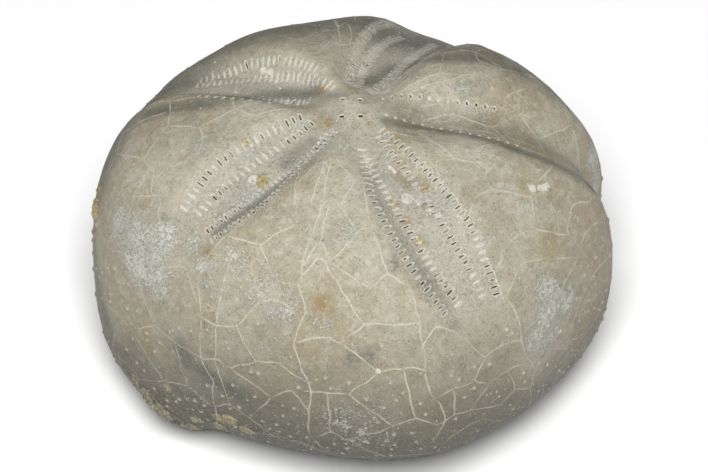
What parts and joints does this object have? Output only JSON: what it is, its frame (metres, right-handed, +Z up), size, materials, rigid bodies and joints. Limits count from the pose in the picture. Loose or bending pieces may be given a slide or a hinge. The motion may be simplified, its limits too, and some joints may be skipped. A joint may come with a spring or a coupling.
{
  "type": "fossil sea urchin",
  "caption": "Domed fossil heart urchin shell of solid stone with sunken petals on top and a flattened underside to rest on.",
  "frame": {"origin": "middle of the footprint on the surface that the fossil rests on", "axes": "+X towards the animal's front, where the deepest furrow notches the edge; +Y towards the animal's left; +Z up through the top of the dome"},
  "size_m": [0.0794, 0.0778, 0.049],
  "materials": {
    "fossil_stone": "dull beige-grey limestone with thin white calcite lines between the plates"
  },
  "bodies": {
    "root": {"fossil_urchin": "fossil_stone"}
  },
  "joints": []
}
